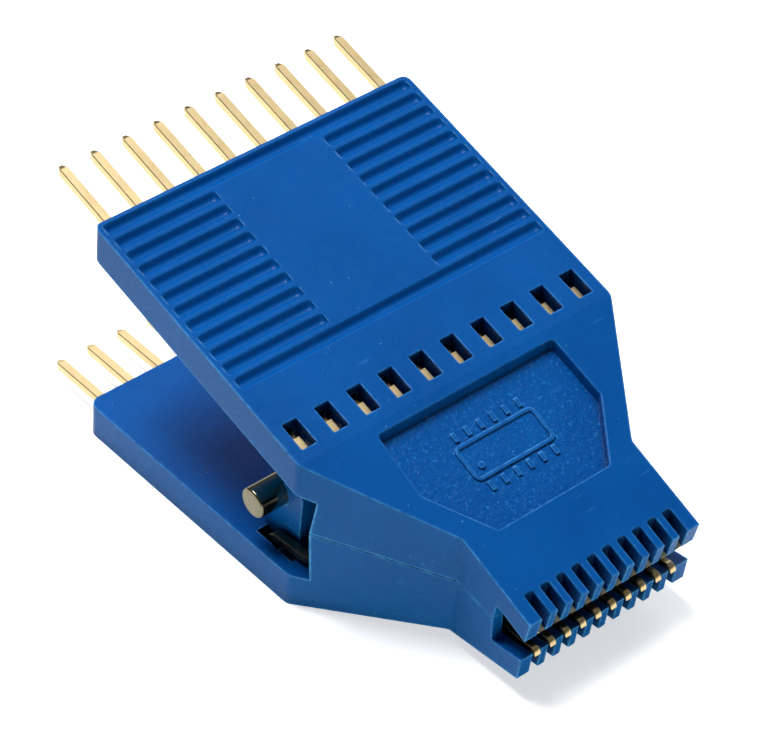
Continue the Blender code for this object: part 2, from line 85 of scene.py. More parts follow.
# ears: side walls that meet at a sloping seam
N_EAR, N_EAR_SEAM, N_EAR_FRONT = 22.93, 22.68, 34.34
SEAM_REAR, SEAM_FRONT, SEAM_GAP = 0.67, 0.30, 0.08
EAR_STEP, EAR_REACH, EAR_ROOF, EAR_ROUND = 0.16, 0.75, JAW_ROOF + 0.05, 0.3
CAVITY_REAR_X, CAVITY_NECK_X, N_CAVITY_REAR, N_CAVITY_NECK = 11.72, 6.20, 22.0, 30.6

# hinge and spring
N_HINGE, Z_HINGE = 17.8, -0.60
R_DOWEL, DOWEL_HALF, DOWEL_DOME, DOWEL_RIM = 1.08, 13.10, 0.05, 0.17
BORE_GAP_UPPER, BORE_GAP_LOWER = 0.05, 0.02
R_LUG, LUG_FRONT, LUG_CORNER, LUG_SINK = 1.50, 2.45, 0.35, 0.6
SADDLE_REAR, SADDLE_CROWN = 0.95, 0.30
LOWER_LUG, UPPER_LUG = (9.42, 10.92), (4.32, 5.82)
R_COIL, R_WIRE, COIL_TURNS, COIL_HALF = 1.66, 0.30, 5, 2.20
LEG_END_N, LEG_GAP = 8.0, 0.07

# grip
RIDGE_PITCH, GROOVE_FIRST, GROOVES = 1.271, 1.00, 12
GROOVE_W, GROOVE_D, GROOVE_CREST = 1.08, 0.36, 0.010
GRIP_OUTER_X, GRIP_INNER_X = 12.50, 4.50

# contacts and the openings round them
CONTACTS, PIN_PITCH, BAR = 10, 2.54, 0.64
JAW_PITCH, JAW_BAR = PIN_PITCH / 2, 0.46
PIN_DEPTH_UPPER, PIN_DEPTH_LOWER = 1.05, 1.72
PIN_TAIL, PIN_POINT, PIN_FLAT = 5.15, 0.45, 0.42
TIP_LAND, TIP_ROUND = 0.17, 0.45
NOTCH, NOTCH_DEPTH = (18.58, 19.52), 0.40
N_UPPER_BEND, N_LEVEL, N_FAN, N_FAN_END = 21.2, 24.3, 21.6, 30.5
WINDOW_W, N_WINDOW, WINDOW_FLOOR, WINDOW_CORNER = 1.12, (18.85, 20.95), 2.9, 0.06
TUNNEL, N_TUNNEL_UPPER, N_TUNNEL_LOWER = 0.74, 19.6, 17.4
TROUGH_W, TROUGH_RISE, TROUGH_MOUTH = 0.98, 0.66, 0.25
SLOT_W, SLOT_CORNER, N_SLOT, SLOT_FLOOR = 0.70, 0.18, 35.65, 0.1
CHANNEL_W, CHANNEL_TOP, CHANNEL_MOUTH, N_CHANNEL = 0.74, 1.96, 0.2, 33.2

# recessed panel: (x, n) down one flank
PANEL = ((7.25, 22.5), (7.42, 27.2), (4.62, 31.4))
PANEL_DEPTH, PANEL_CORNER = 0.80, 0.32
# chip drawn on the panel floor
CHIP_N, CHIP_W, CHIP_L, CHIP_LINE, CHIP_CORNER = 26.55, 6.6, 2.7, 0.28, 0.50
CHIP_SINK, CHIP_RISE, CHIP_EDGE = 0.10, 0.15, 0.035
LEGS, LEG_PITCH, LEG_W, LEG_L, LEG_OFF, LEG_CORNER = 6, 1.05, 0.34, 0.72, 0.55, 0.08
R_DOT, DOT_INSET, DOT_N = 0.26, 1.0, 0.45

HANDLE_SLOPE = (Z_SHOULDER - Z_REAR) / N_SHOULDER
FRONT_SLOPE = (Z_NOSE - Z_SHOULDER) / (N_NOSE - N_SHOULDER)
TILT = math.atan(-HANDLE_SLOPE)
LANES = [i - (CONTACTS - 1) / 2 for i in range(CONTACTS)]

# ------------------------------------------------- clip coordinates to the frame
dowel_low, dowel_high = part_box("hinge_dowel")
hinge = Vector((0.0, (dowel_low.y + dowel_high.y) / 2, (dowel_low.z + dowel_high.z) / 2))
SPIN = Matrix.Rotation(TILT, 4, "X")
CLIP = (Matrix.Translation(hinge) @ SPIN @ Matrix.Diagonal((0.001, 0.001, 0.001, 1.0))
        @ Matrix.Translation(Vector((0.0, N_HINGE, -Z_HINGE))))


def outer(n):
    """Height of the outer face."""
    if n <= N_SHOULDER:
        return Z_REAR + HANDLE_SLOPE * n
    return Z_SHOULDER + FRONT_SLOPE * (n - N_SHOULDER)


def plate_inner(n):
    """Height of the handle plate's inner face."""
    return Z_REAR + HANDLE_SLOPE * n - PLATE / math.cos(TILT)


# ------------------------------------------------------------- outlines and lofts
def arc(across, along, radius, sides, start=0.0, turn=2 * math.pi):
    """Points round a centre; a full turn leaves out the repeated last point."""
    closed = abs(turn - 2 * math.pi) < 1e-9
    return [(across + radius * math.cos(start + turn * i / sides),
             along + radius * math.sin(start + turn * i / sides))
            for i in range(sides if closed else sides + 1)]


def rect(x, width, n0, n1):
    half = width / 2
    return [(x - half, n0), (x - half, n1), (x + half, n1), (x + half, n0)]


def rounded(points, radii, segments=8):
    """Outline with its corners rounded; radii is one radius or {corner: radius}."""
    out = []
    for i, point in enumerate(points):
        radius = radii.get(i, 0.0) if isinstance(radii, dict) else radii
        here = Vector(point)
        if radius <= 0.0:
            out.append(tuple(here))
            continue
        back = (Vector(points[i - 1]) - here).normalized()
        ahead = (Vector(points[(i + 1) % len(points)]) - here).normalized()
        half = back.angle(ahead) / 2
        run = radius / math.tan(half)
        centre = here + (back + ahead).normalized() * (radius / math.sin(half))
        first = here + back * run - centre
        last = here + ahead * run - centre
        turn = first.angle_signed(last)
        for k in range(segments + 1):
            out.append(tuple(centre + Matrix.Rotation(-turn * k / segments, 2) @ first))
    return out


def grow(points, distance):
    """Plan polygon moved outwards by distance."""
    count = len(points)
    area = sum(points[i - 1][0] * points[i][1] - points[i][0] * points[i - 1][1]
               for i in range(count))
    sign = 1.0 if area > 0 else -1.0
    out = []
    for i in range(count):
        last, here, after = (Vector(points[k]) for k in (i - 1, i, (i + 1) % count))
        edge_in, edge_out = (here - last).normalized(), (after - here).normalized()
        normal_in = Vector((edge_in.y, -edge_in.x))
        normal_out = Vector((edge_out.y, -edge_out.x))
        middle = (normal_in + normal_out).normalized()
        out.append(tuple(here + middle * (sign * distance / max(0.4, middle.dot(normal_in)))))
    return out


# A loft is a list of rings of points, skinned in order.

def slab_x(points, x0, x1, side=1):
    """(n, z) outline drawn out across x."""
    return [[(x, -n, side * z) for n, z in points] for x in (x0, x1)]


def slab_z(points):
    """(x, n) outline drawn out in z, well past the clip."""
    return [[(x, -n, level) for x, n in points] for level in (-20, 20)]


def on_face(plan, side, height):
    """Ring over an (x, n) plan, at a height above the outer face."""
    return [(x, -n, side * (outer(n) + height)) for x, n in plan]


def well(plan, side, floor, lip, draft=0.0):
    """Hole down from the outer face with a rounded lip; floor is a height function."""
    edge = [(lip * (1 - math.cos(a)), lip * (math.sin(a) - 1)) for a in (0.0, 0.42, 0.84, 1.2)]
    edge += [(lip * 1.02, 0.012), (lip * 1.1, 0.8)]
    rings = [[(x, -n, side * floor(n)) for x, n in grow(plan, -draft)]]
    return rings + [on_face(grow(plan, out), side, height) for out, height in edge]


# -------------------------------------------------------------- mesh functions
def skin(bm, rings):
    """Skin a loft; it is capped unless its last ring is its first."""
    closed = rings[-1] is rings[0]
    loops = [[bm.verts.new(p) for p in ring] for ring in (rings[:-1] if closed else rings)]
    count = len(loops[0])
    for near, far in zip(loops, loops[1:] + (loops[:1] if closed else [])):
        for i in range(count):
            j = (i + 1) % count
            bm.faces.new((near[i], near[j], far[j], far[i]))
    if not closed:
        bm.faces.new(loops[0][::-1])
        bm.faces.new(loops[-1])


def link_mesh(name, bm):
    bmesh.ops.remove_doubles(bm, verts=bm.verts, dist=1e-5)
    bmesh.ops.recalc_face_normals(bm, faces=bm.faces)
    mesh = bpy.data.meshes.new(name)
    bm.to_mesh(mesh)
    bm.free()
    obj = bpy.data.objects.new(name, mesh)
    bpy.context.scene.collection.objects.link(obj)
    return obj


def make(name, lofts):
    bm = bmesh.new()
    for rings in lofts:
        skin(bm, rings)
    return link_mesh(name, bm)


def combine(obj, tool, operation):
    """Apply a boolean with tool, an object or a list of lofts, and remove the tool."""
    if isinstance(tool, list):
        tool = make("tool", tool)
    mod = obj.modifiers.new("cut", "BOOLEAN")
    mod.operation, mod.solver, mod.object = operation, "EXACT", tool
    graph = bpy.context.evaluated_depsgraph_get()
    mesh = bpy.data.meshes.new_from_object(obj.evaluated_get(graph))
    obj.modifiers.clear()
    old = obj.data
    obj.data = mesh
    bpy.data.meshes.remove(old)
    bpy.data.objects.remove(tool, do_unlink=True)


def tidy(obj):
    """Merge doubled points and dissolve the edges inside flat faces."""
    bm = bmesh.new()
    bm.from_mesh(obj.data)
    bmesh.ops.remove_doubles(bm, verts=bm.verts, dist=1e-4)
    bmesh.ops.dissolve_limit(bm, angle_limit=math.radians(0.6), verts=bm.verts, edges=bm.edges)
    bm.to_mesh(obj.data)
    bm.free()


def bevel(obj, width, segments, pick, least=0.25):
    """Round the convex edges over 25 degrees and longer than least that pick accepts."""
    bm = bmesh.new()
    bm.from_mesh(obj.data)
    bm.normal_update()
    chosen = [e for e in bm.edges
              if len(e.link_faces) == 2 and e.is_convex and e.calc_length() > least
              and e.calc_face_angle() > math.radians(25.0) and pick(e)]
    if chosen:
        bmesh.ops.bevel(bm, geom=chosen, offset=width, offset_type="OFFSET", segments=segments,
                        profile=0.5, affect="EDGES", clamp_overlap=True)
    bmesh.ops.remove_doubles(bm, verts=bm.verts, dist=1e-4)
    bm.to_mesh(obj.data)
    bm.free()


def finish_mesh(obj, angle):
    """Move to the frame; smooth between edges sharper than angle, flat faces kept flat."""
    obj.data.transform(CLIP)
    obj.data.shade_smooth()
    obj.data.set_sharp_from_angle(angle=math.radians(angle))
    mod = obj.modifiers.new("normals", "WEIGHTED_NORMAL")
    mod.mode = "FACE_AREA"
    mod.weight = 100
    mod.keep_sharp = True


# --------------------------------------------------------------- contact paths
def handle_line(n, side):
    """(n, z) on the line the header pins follow inside the handle."""
    depth = PIN_DEPTH_UPPER if side > 0 else PIN_DEPTH_LOWER
    return (n, side * (outer(0) + HANDLE_SLOPE * n - depth / math.cos(TILT)))


def contact_profile(side):
    """(n, z) corners of a contact's centre line, tail to tip; z is the true height."""
    if side > 0:
        middle = [handle_line(N_UPPER_BEND, side), (N_LEVEL, 3.02)]
    else:
        middle = [handle_line(17.7, side), (18.6, -4.00), (22.0, -3.14), (N_LEVEL, -2.98)]
    front = [(N_FAN_END, side * 1.93), (33.9, side * 1.46), (36.1, side * 1.30),
             (37.25, side * 0.93)]
    return [handle_line(-PIN_TAIL, side)] + middle + front


def fan(n):
    """0 at the pin pitch, 1 at the jaw pitch."""
    return min(max((n - N_FAN) / (N_FAN_END - N_FAN), 0.0), 1.0)


def lane_x(lane, n):
    return lane * (PIN_PITCH + (JAW_PITCH - PIN_PITCH) * fan(n))


def interpolate(profile, n):
    for (n0, z0), (n1, z1) in zip(profile, profile[1:]):
        if n0 <= n <= n1:
            return z0 + (z1 - z0) * (n - n0) / (n1 - n0)
    return profile[-1][1]


def smooth(value, n, reach):
    """Mean of value(n) over a short window, which turns a corner into an arc."""
    steps = 12
    return sum(value(n + reach * (2 * k / steps - 1)) for k in range(steps + 1)) / (steps + 1)


# ---------------------------------------------------------------- half profiles
def plan_outline():
    corners = [
        (-HALF_W, 0), (-HALF_W, N_SHOULDER), (-HALF_NOSE, N_NECK), (-HALF_NOSE, N_NOSE + 1),
        (HALF_NOSE, N_NOSE + 1), (HALF_NOSE, N_NECK), (HALF_W, N_SHOULDER), (HALF_W, 0),
    ]
    return rounded(corners, {0: R_REAR, 1: R_SHOULDER, 2: R_NECK,
                             5: R_NECK, 6: R_SHOULDER, 7: R_REAR})


def shell_profile(side):
    front_out, front_in = UPPER_FRONT if side > 0 else LOWER_FRONT
    jaw_face = JAW_ROOF + (JAW_TIP - JAW_ROOF) * (front_in - N_MOUTH) / (N_NOSE - N_MOUTH)
    # the rear edge is square to the handle's faces
    rear_inner = (0 - PLATE * math.sin(TILT), outer(0) - PLATE * math.cos(TILT))
    points = [
        (0.0, Z_REAR), rear_inner, (N_INNER, plate_inner(N_INNER)), (N_MOUTH, JAW_ROOF),
        (front_in, jaw_face), (front_out, outer(front_out)), (N_SHOULDER, Z_SHOULDER),
    ]
    return rounded(points, {0: REAR_ROUND, 1: REAR_ROUND, 2: INNER_ROUND})


def seam(n):
    along = (n - N_EAR_SEAM) / (N_EAR_FRONT - N_EAR_SEAM)
    return SEAM_REAR + (SEAM_FRONT - SEAM_REAR) * along


def ear_profile(side, flank):
    """The seam lies above the middle plane on one flank and below it on the other."""
    level = -flank * side
    step, end = N_EAR_FRONT + EAR_STEP, N_EAR_FRONT + EAR_REACH
    points = [
        (N_EAR, outer(N_EAR) - 1.2), (N_EAR, plate_inner(N_EAR) - 0.02),
        (N_EAR_SEAM, level * seam(N_EAR_SEAM) + SEAM_GAP / 2),
        (N_EAR_FRONT, level * seam(N_EAR_FRONT) + SEAM_GAP / 2),
        (step, EAR_ROOF), (end, EAR_ROOF), (end, outer(end) - 0.5),
    ]
    return rounded(points, {4: EAR_ROUND})


def ear_plan(flank):
    edge = flank * (HALF_W + 1)
    return [
        (edge, N_CAVITY_REAR), (flank * CAVITY_REAR_X, N_CAVITY_REAR),
        (flank * CAVITY_NECK_X, N_CAVITY_NECK), (flank * CAVITY_NECK_X, N_MOUTH), (edge, N_MOUTH),
    ]


def lug_profile(side):
    axis = Z_HINGE * side
    if side < 0:
        # saddle: under the dowel, round its front and over its top edge
        front, rear = N_HINGE + LUG_FRONT, N_HINGE - SADDLE_REAR
        crown = axis - R_DOWEL - SADDLE_CROWN
        edge = [(rear, axis + 0.80), (N_HINGE - 0.60, axis + 0.40),
                (N_HINGE + 0.30, axis - 0.60), (N_HINGE + 0.66, crown)]
    else:
        front, rear = N_HINGE + R_LUG, N_HINGE - R_LUG
        crown = axis - R_LUG
        edge = arc(N_HINGE, axis, R_LUG, 20, math.pi, math.pi / 2)
    base = [(n, plate_inner(n) + LUG_SINK) for n in (front, rear)]
    corner = arc(front - LUG_CORNER, crown + LUG_CORNER, LUG_CORNER, 6,
                 1.5 * math.pi, math.pi / 2)
    return base + edge + corner


# ------------------------------------------------------------------ half details
def groove_ring(x, centre, side, size):
    """Groove section at x: a wave between two crests."""
    deep = max(GROOVE_D * size, 0.03)
    wide = GROOVE_W / 2 + 0.03 - (1 - size) * 0.10
    steps = 18
    section = [(wide + 0.01, 0.5)]
    for k in range(steps + 1):
        across = 1 - 2 * k / steps
        wave = (1 + math.cos(math.pi * abs(across) ** 1.25)) / 2
        section.append((wide * across, GROOVE_CREST - (deep + GROOVE_CREST) * wave ** 0.92))
    section.append((-wide - 0.01, 0.5))
    return [(x, -(centre + shift + height * math.sin(TILT)),
             side * (outer(centre + shift) + height * math.cos(TILT)))
            for shift, height in section]


def groove(x0, x1, centre, side):
    # (distance from the end, size of the section)
    ends = [(0.0, 0.25), (0.05, 0.48), (0.13, 0.70), (0.25, 0.89), (0.42, 1.0)]
    stations = [(x0 + d, size) for d, size in ends]
    stations += [(x1 - d, size) for d, size in reversed(ends)]
    return [groove_ring(x, centre, side, size) for x, size in stations]


def grip(side):
    """Grooves: full width at both ends, on the flanks alone between them."""
    lofts = []
    for k in range(GROOVES):
        if k in (0, GROOVES - 1):
            spans = [(-GRIP_OUTER_X, GRIP_OUTER_X)]
        else:
            spans = [(-GRIP_OUTER_X, -GRIP_INNER_X), (GRIP_INNER_X, GRIP_OUTER_X)]
        lofts += [groove(x0, x1, GROOVE_FIRST + k * RIDGE_PITCH, side) for x0, x1 in spans]
    return lofts


def chip_marks(side):
    """Plain outline of a chip, its legs and its first-pin dot, standing on the panel."""
    low, high = -PANEL_DEPTH - CHIP_SINK, -PANEL_DEPTH + CHIP_RISE

    def rise(plan, edge):
        return [on_face(plan, side, low), on_face(plan, side, high - CHIP_EDGE),
                on_face(grow(plan, edge), side, high)]

    outline = rounded(rect(0, CHIP_W, CHIP_N - CHIP_L / 2, CHIP_N + CHIP_L / 2), CHIP_CORNER, 6)
    rings = rise(outline, -CHIP_EDGE) + rise(grow(outline, -CHIP_LINE), CHIP_EDGE)[::-1]
    lofts = [rings + rings[:1]]
    for k in range(LEGS):
        for end in (-1, 1):
            n = CHIP_N + end * (CHIP_L / 2 + LEG_OFF)
            plan = rect((k - (LEGS - 1) / 2) * LEG_PITCH, LEG_W, n - LEG_L / 2, n + LEG_L / 2)
            lofts.append(rise(rounded(plan, LEG_CORNER, 3), -CHIP_EDGE))
    dot = arc(-CHIP_W / 2 + DOT_INSET, CHIP_N + DOT_N, R_DOT, 20)
    return lofts + [rise(dot, -CHIP_EDGE)]


def panel(side):
    plan = list(PANEL) + [(-x, n) for x, n in reversed(PANEL)]
    return well(rounded(plan, PANEL_CORNER, 6), side, lambda n: outer(n) - PANEL_DEPTH,
                lip=0.08, draft=0.05)


def window(lane, side):
    plan = rounded(rect(lane * PIN_PITCH, WINDOW_W, *N_WINDOW), WINDOW_CORNER, 3)
    return well(plan, side, lambda n: WINDOW_FLOOR, lip=0.06)


def tunnel(lane, side):
    """Square hole for a header pin."""
    x = lane * PIN_PITCH
    rings = []
    for n in (-1.0, N_TUNNEL_UPPER if side > 0 else N_TUNNEL_LOWER):
        z = handle_line(n, side)[1]
        rings.append([(x + right * TUNNEL / 2, -n, z + up * TUNNEL / 2)
                      for right, up in ((-1, -1), (1, -1), (1, 1), (-1, 1))])
    return rings


def trough(lane, side):
    """Channel open to the inside, at the front of the tunnel."""
    profile = contact_profile(side)
    stations, bends = [], (20.3, N_UPPER_BEND, N_FAN, N_LEVEL, 25.6)
    if side < 0:
        stations, bends = [handle_line(17.2, side), handle_line(18.3, side)], (19.2, 20.2)
    stations += [(n, interpolate(profile, n)) for n in bends]
    half = TROUGH_W / 2
    rings = []
    for n, z in stations:
        x, deep, mouth = lane_x(lane, n), z + side * TROUGH_RISE, side * TROUGH_MOUTH
        rings.append([(x - half, -n, deep), (x + half, -n, deep),
                      (x + half, -n, mouth), (x - half, -n, mouth)])
    return rings


def jaw_channel(lane, side):
    x, end = lane * JAW_PITCH, N_SLOT + 0.4
    points = [(N_CHANNEL, CHANNEL_MOUTH), (N_CHANNEL, CHANNEL_TOP),
              (end, CHANNEL_TOP), (end, CHANNEL_MOUTH)]
    return slab_x(points, x - CHANNEL_W / 2, x + CHANNEL_W / 2, side)


def comb_slot(lane, side):
    plan = rounded(rect(lane * JAW_PITCH, SLOT_W, N_SLOT, N_NOSE + 2),
                   {0: SLOT_CORNER, 3: SLOT_CORNER}, 5)
    return well(plan, side, lambda n: SLOT_FLOOR, lip=0.07)


def build_half(name, side):
    def on_outer(vert, slack):
        return abs(vert.co.z * side - outer(-vert.co.y)) < slack

    def outline_edge(edge):
        return all(on_outer(v, 0.02) for v in edge.verts)

    def ear_edge(edge):
        return (not any(on_outer(v, 0.25) for v in edge.verts)
                and max(abs(v.co.x) for v in edge.verts) > 6.5
                and min(-v.co.y for v in edge.verts) > 21.5)

    body = make(name, [slab_x(shell_profile(side), -HALF_W - 1, HALF_W + 1, side)])
    for flank in (-1, 1):
        ear = make("ear", [slab_x(ear_profile(side, flank), -HALF_W - 0.5, HALF_W + 0.5, side)])
        combine(ear, [slab_z(ear_plan(flank))], "INTERSECT")
        combine(body, ear, "UNION")
    combine(body, [slab_z(plan_outline())], "INTERSECT")
    tidy(body)
    bevel(body, EDGE_OUTER, 3, outline_edge, least=0.02)
    bevel(body, EDGE_INNER, 2, ear_edge)

    combine(body, [panel(side)], "DIFFERENCE")
    combine(body, chip_marks(side), "UNION")

    # hinge lugs and bore
    lug, gap = (LOWER_LUG, BORE_GAP_LOWER) if side < 0 else (UPPER_LUG, BORE_GAP_UPPER)
    combine(body, [slab_x(lug_profile(side), flank * lug[0], flank * lug[1], side)
                   for flank in (-1, 1)], "UNION")
    bore = arc(N_HINGE, Z_HINGE, R_DOWEL + gap, 72)
    combine(body, [slab_x(bore, -HALF_W - 2, HALF_W + 2)], "DIFFERENCE")

    for opening in (window, tunnel, trough, jaw_channel, comb_slot):
        combine(body, [opening(lane, side) for lane in LANES], "DIFFERENCE")
    combine(body, grip(side), "DIFFERENCE")
    return body


# -------------------------------------------------------------------- contacts
def contact_stations(side):
    """n -> (trim on the outer side, trim on the jaw side)."""
    plain = (0.0, 0.0)
    profile = contact_profile(side)
    end = profile[-1][0]
    marks = {profile[0][0]: plain}
    for bend in [n for n, _ in profile[1:-1]] + [N_FAN]:
        for k in range(-3, 4):
            marks[round(bend + 0.1 * k, 4)] = plain
    for n in range(0, 38, 3):
        marks.setdefault(float(n) + 0.05, plain)
    if side > 0:
        rear, front = NOTCH
        marks = {n: v for n, v in marks.items() if not rear - 0.1 < n < front + 0.1}
        marks.update({rear - 0.05: plain, rear: (0.05, 0.0), rear + 0.03: (NOTCH_DEPTH, 0.0),
                      front - 0.03: (NOTCH_DEPTH, 0.0), front: (0.05, 0.0), front + 0.05: plain})
    marks = {n: v for n, v in marks.items() if n < end - TIP_ROUND - 0.02}
    for part in (0.0, 0.2, 0.4, 0.6, 0.75, 0.87, 0.95, 1.0):
        trim = (BAR - TIP_LAND) * (1 - math.sqrt(1 - part * part))
        marks[end - TIP_ROUND * (1 - part)] = (0.0, trim)
    return marks


def contact_line(order, lane, side):
    """Centre line with its corners smoothed, at each n in order."""
    profile = contact_profile(side)
    first, end = profile[0][0], profile[-1][0]

    def height(n):
        return interpolate(profile, min(max(n, first), end))

    line = []
    for n in order:
        reach = min(0.28, n - first, end - n)
        z = smooth(height, n, max(reach, 0.0))
        x = smooth(lambda near: lane_x(lane, near), n, 0.3)
        line.append(Vector((x, -n, z)))
    return line


def build_contact(name, lane, side):
    marks = contact_stations(side)
    order = sorted(marks)
    line = contact_line(order, lane, side)
    rings = []
    for i, p in enumerate(line):
        before = (p - line[i - 1]).normalized() if i else (line[1] - p).normalized()
        after = (line[i + 1] - p).normalized() if i + 1 < len(line) else before
        tangent = (before + after).normalized()
        across = tangent.cross(Vector((0, 0, 1))).normalized()
        rise = across.cross(tangent).normalized() * side
        half = (BAR + (JAW_BAR - BAR) * fan(order[i])) / 2
        trim_out, trim_in = marks[order[i]]
        top, low = BAR / 2 - trim_out, -(BAR / 2 - trim_in)
        cut = min(0.05, (top - low) * 0.24)
        section = [(-half, low + cut), (-half + cut, low), (half - cut, low), (half, low + cut),
                   (half, top - cut), (half - cut, top), (-half + cut, top), (-half, top - cut)]
        rings.append([p + across * right + rise * up for right, up in section])
    # pointed tail: (scale of the section, distance behind the first ring)
    back = (line[0] - line[1]).normalized()
    base = rings[0]
    for scale, run in ((0.93, 0.06), (PIN_FLAT + 0.06, PIN_POINT - 0.03),
                       (PIN_FLAT - 0.06, PIN_POINT)):
        rings.insert(0, [line[0] + (v - line[0]) * scale + back * run for v in base])
    return make(name, [rings])


# ------------------------------------------------------------- dowel and spring
def build_dowel(name):
    # (x, radius) from the domed end face out over its rounded rim
    shoulder = R_DOWEL - DOWEL_RIM
    ends = [(DOWEL_HALF - 0.02, R_DOWEL * 0.30), (DOWEL_HALF - 0.028, R_DOWEL * 0.60),
            (DOWEL_HALF - DOWEL_DOME, shoulder)]
    ends += [(DOWEL_HALF - DOWEL_DOME - 0.13 * (1 - math.cos(a)) - 0.02 * a,
              shoulder + DOWEL_RIM * math.sin(a)) for a in (0.4, 0.8, 1.2, math.pi / 2)]
    stations = [(-x, radius) for x, radius in ends] + ends[::-1]
    return make(name, [[[(x, -n, z) for n, z in arc(N_HINGE, Z_HINGE, radius, 96)]
                        for x, radius in stations]])


def leg_run(lean):
    return (N_HINGE + R_COIL * math.sin(lean) - LEG_END_N) / math.cos(lean)


def leg_angle(side):
    """Lean that brings the leg's end just inside the handle plate, found by halving."""
    target = side * (plate_inner(LEG_END_N) - (R_WIRE + LEG_GAP) / math.cos(TILT))
    low, high = 0.0, math.radians(60)
    for _ in range(60):
        mid = (low + high) / 2
        reach = Z_HINGE + side * (R_COIL * math.cos(mid) + leg_run(mid) * math.sin(mid))
        if side * (target - reach) > 0:
            low = mid
        else:
            high = mid
    return low


def build_spring(name):
    low, high = leg_angle(-1), leg_angle(1)
    start = -math.pi / 2 + low
    stop = math.pi / 2 - high + 2 * math.pi * COIL_TURNS
    steps = 260
    line = []
    for i in range(steps + 1):
        angle = start + (stop - start) * i / steps
        x = -COIL_HALF + 2 * COIL_HALF * i / steps
        line.append(Vector((x, -(N_HINGE + R_COIL * math.cos(angle)),
                            Z_HINGE + R_COIL * math.sin(angle))))
    for side, lean in ((-1, low), (1, high)):
        run = leg_run(lean)
        base = line[0] if side < 0 else line[-1]
        aim = Vector((0.0, math.cos(lean), side * math.sin(lean)))
        leg = [base + aim * run * part for part in (0.06, 0.3, 0.6, 0.9, 0.97, 1.0)]
        line = leg[::-1] + line if side < 0 else line + leg
    rings = []
    for i, p in enumerate(line):
        tangent = (line[min(i + 1, len(line) - 1)] - line[max(i - 1, 0)]).normalized()
        across = tangent.cross(Vector((1, 0, 0))).normalized()
        along = across.cross(tangent).normalized()
        radius = R_WIRE * (0.8 if i in (0, len(line) - 1) else 1.0)
        rings.append([p + across * radius * math.cos(a) + along * radius * math.sin(a)
                      for a in (2 * math.pi * k / 16 for k in range(16))])
    return make(name, [rings])


# ------------------------------------------------------------------- materials
class Nodes:
    """Adds and links the nodes of one tree."""

    def __init__(self, tree):
        self.tree = tree

    def put(self, socket, value):
        if isinstance(value, bpy.types.NodeSocket):
            self.tree.links.new(value, socket)
        else:
            socket.default_value = value

    def add(self, kind, inputs=None, **settings):
        """New node's outputs; inputs maps sockets to values or to outputs to link."""
        node = self.tree.nodes.new("ShaderNode" + kind)
        for key, value in settings.items():
            setattr(node, key, value)
        for key, value in (inputs or {}).items():
            self.put(node.inputs[key], value)
        return node.outputs


class Look(Nodes):
    """A material; texture scales are per millimetre, reaches and radii in millimetres."""

    def __init__(self, name):
        self.mat = bpy.data.materials.new(name)
        self.mat.use_nodes = True
        super().__init__(self.mat.node_tree)
        place = self.add("TexCoord")["Object"]
        self.mm = self.add("VectorMath", {0: place, "Scale": 1000.0}, operation="SCALE")[0]

    def surface(self, inputs):
        bsdf = next(n for n in self.tree.nodes if n.type == "BSDF_PRINCIPLED")
        for key, value in inputs.items():
            self.put(bsdf.inputs[key], value)

    def noise(self, scale, detail, rough=0.5, vector=None, distortion=0.0):
        return self.add("TexNoise", {
            "Vector": vector or self.mm, "Scale": scale, "Detail": detail,
            "Roughness": rough, "Distortion": distortion})["Fac"]

    def stretch(self, x, y, z):
        return self.add("VectorMath", {0: self.mm, 1: (x, y, z)}, operation="MULTIPLY")[0]

    def ramp(self, value, low, high, to_low=0.0, to_high=1.0):
        return self.add("MapRange", {
            "Value": value, "From Min": low, "From Max": high,
            "To Min": to_low, "To Max": to_high}, clamp=True)["Result"]

    def math(self, operation, first, second):
        return self.add("Math", {0: first, 1: second}, operation=operation)[0]

    def times(self, first, second):
        return self.math("MULTIPLY", first, second)

    def mix(self, share, under, over):
        return self.add("Mix", {"Factor": share, 6: under, 7: over}, data_type="RGBA")[2]

    def bump(self, height, distance, normal=None):
        inputs = {"Distance": distance * 0.001, "Strength": 1.0, "Height": height}
        if normal is not None:
            inputs["Normal"] = normal
        return self.add("Bump", inputs)["Normal"]

    def rounding(self, radius):
        return self.add("Bevel", {"Radius": radius * 0.001}, samples=4)["Normal"]

    def openness(self, reach, inside=False):
        """1 in the open, less in crevices; inside gives less near outer corners instead."""
        return self.add("AmbientOcclusion", {"Distance": reach * 0.001},
                        samples=6, inside=inside)["AO"]


def rgb(red, green, blue):
    return (red, green, blue, 1.0)


PLASTIC_DEEP, PLASTIC_BODY = rgb(0.0004, 0.070, 0.290), rgb(0.0006, 0.084, 0.340)
PLASTIC_PALE, PLASTIC_SPECK = rgb(0.005, 0.150, 0.480), rgb(0.08, 0.30, 0.74)
# the second colour on the next line is a painted shade for crevices
PLASTIC_SCUFF, PLASTIC_CREVICE_SHADE = rgb(0.04, 0.22, 0.62), rgb(0.0003, 0.009, 0.070)
# the next line holds painted highlights: pale edges, partly wear, and bright spots on the panel
# grain
PLASTIC_WORN_HIGHLIGHT, PLASTIC_PAINTED_GLINT = rgb(0.080, 0.37, 0.83), rgb(0.020, 0.24, 0.68)
# dark brown painted shade for the metal parts
METAL_SHADE = rgb(0.030, 0.022, 0.012)


